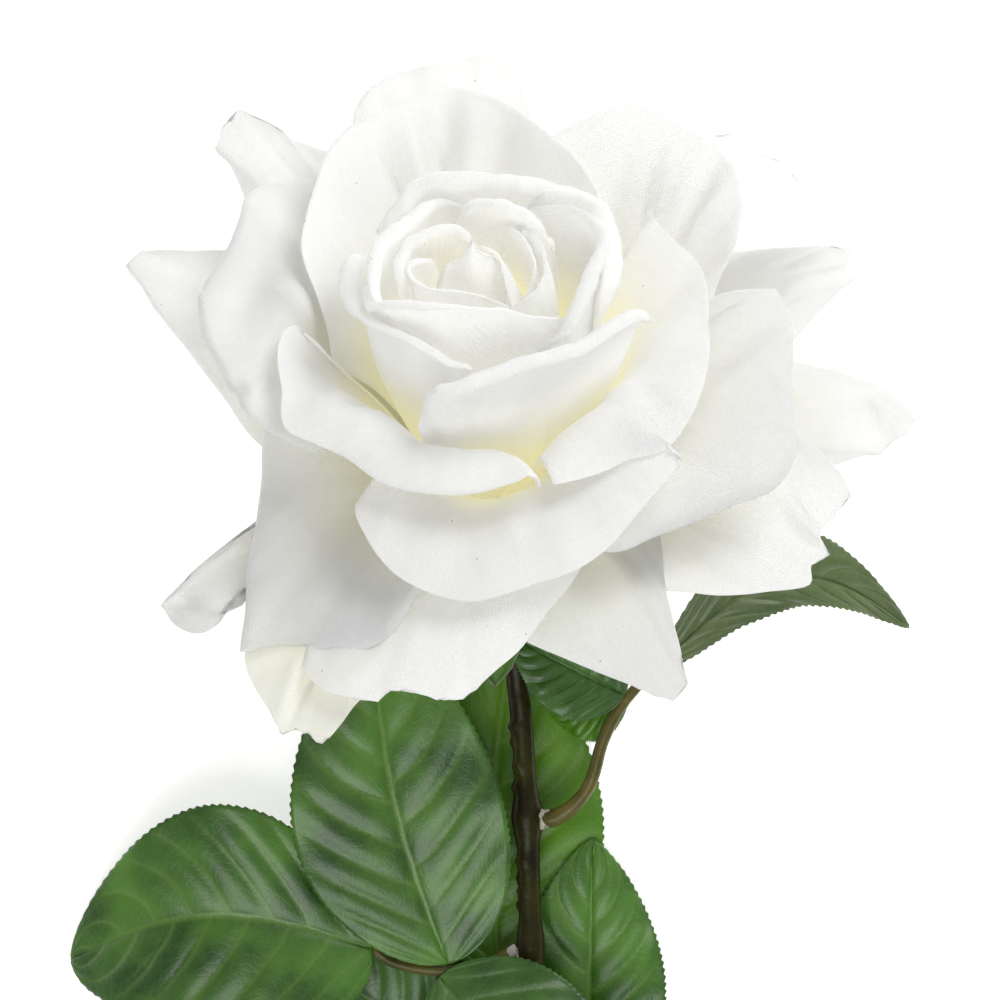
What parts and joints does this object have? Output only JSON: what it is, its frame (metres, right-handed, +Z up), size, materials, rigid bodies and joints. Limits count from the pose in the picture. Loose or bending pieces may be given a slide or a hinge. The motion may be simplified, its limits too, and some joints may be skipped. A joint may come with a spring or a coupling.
{
  "type": "artificial rose",
  "caption": "Artificial rose lying on its side: an open white flower of separate stiffened cloth petals on a moulded stem with serrated cloth leaves.",
  "frame": {"origin": "middle of the footprint on the surface the rose lies on", "axes": "+Y along the stem towards the flower, +Z up from the surface, +X to the right when the flower points away"},
  "size_m": [0.1604, 0.4086, 0.0987],
  "materials": {
    "petal_cloth": "satin",
    "heart_cloth": "satin",
    "leaf_cloth": "satin",
    "stem_plastic": "satin"
  },
  "bodies": {
    "root": {"leaf_left_end": "leaf_cloth", "leaf_left_lower": "leaf_cloth", "leaf_left_upper": "leaf_cloth", "leaf_lower_end": "leaf_cloth", "leaf_lower_right": "leaf_cloth", "leaf_lower_upper": "leaf_cloth", "leaf_right_end": "leaf_cloth", "leaf_right_lower": "leaf_cloth", "leaf_right_upper": "leaf_cloth", "petal_bowl_back": "petal_cloth", "petal_bowl_front": "petal_cloth", "petal_bowl_left": "petal_cloth", "petal_bowl_left_front": "petal_cloth", "petal_bowl_right": "petal_cloth", "petal_cup_back": "petal_cloth", "petal_cup_far_right": "petal_cloth", "petal_cup_front": "petal_cloth", "petal_cup_left": "petal_cloth", "petal_cup_right": "petal_cloth", "petal_fan_left": "petal_cloth", "petal_fan_left_back": "petal_cloth", "petal_fan_left_front": "petal_cloth", "petal_fan_right": "petal_cloth", "petal_fan_right_back": "petal_cloth", "petal_fan_right_front": "petal_cloth", "petal_heart": "heart_cloth", "petal_heart_front": "heart_cloth", "petal_heart_right": "heart_cloth", "petal_heart_wrap": "heart_cloth", "petal_hem_back": "petal_cloth", "petal_hem_front_left": "petal_cloth", "petal_hem_left_front": "petal_cloth", "petal_inner_back": "petal_cloth", "petal_inner_left": "petal_cloth", "petal_inner_right": "petal_cloth", "petal_middle_front": "petal_cloth", "petal_middle_left": "petal_cloth", "petal_skirt_back": "petal_cloth", "petal_skirt_front": "petal_cloth", "petal_skirt_front_right": "petal_cloth", "petal_skirt_right": "petal_cloth", "petal_skirt_right_back": "petal_cloth", "petal_skirt_right_front": "petal_cloth", "receptacle": "stem_plastic", "sepal_1": "leaf_cloth", "sepal_2": "leaf_cloth", "sepal_3": "leaf_cloth", "sepal_4": "leaf_cloth", "sepal_5": "leaf_cloth", "stalk_left": "stem_plastic", "stalk_lower": "stem_plastic", "stalk_lower_right": "stem_plastic", "stalk_right": "stem_plastic", "stem": "stem_plastic"}
  },
  "joints": []
}
